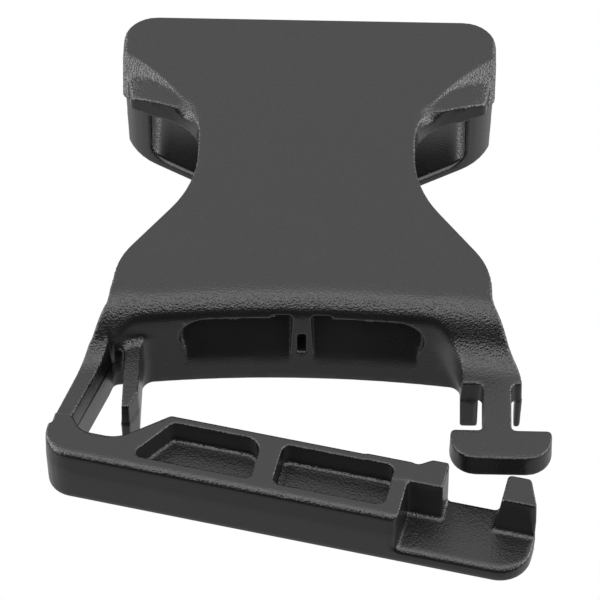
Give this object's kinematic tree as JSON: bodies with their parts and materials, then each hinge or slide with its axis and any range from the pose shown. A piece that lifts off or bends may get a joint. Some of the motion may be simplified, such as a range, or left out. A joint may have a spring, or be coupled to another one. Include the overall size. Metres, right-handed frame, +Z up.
{
  "type": "side release buckle socket",
  "caption": "Socket half of a side release buckle for 25 mm webbing, with a hinged web bar that opens and hooks onto a catch.",
  "frame": {"origin": "middle of the flat underside of the socket body, without the arms and the gate", "axes": "+X across the webbing towards the catch, +Y along it towards the plug's mouth, +Z up, out of the plain top face"},
  "size_m": [0.0428, 0.0538, 0.0106],
  "materials": {
    "body_acetal": "black acetal, fine spark-eroded grain",
    "hinge_acetal": "black acetal, smoother satin grain",
    "gate_acetal": "black acetal, smoother satin grain"
  },
  "bodies": {
    "socket": {"socket_body": "body_acetal", "hinge_arm": "hinge_acetal"},
    "gate": {"gate": "gate_acetal"}
  },
  "joints": [
    {"name": "gate_swing", "type": "hinge", "parent": "socket", "child": "gate", "pos_m": [-0.01861, -0.0218, 0.0031], "axis": [0, 0, 1], "range_deg": [-20, 1.5], "stiffness_Nm_per_rad": 1, "deforming": ["hinge_arm"]}
  ]
}
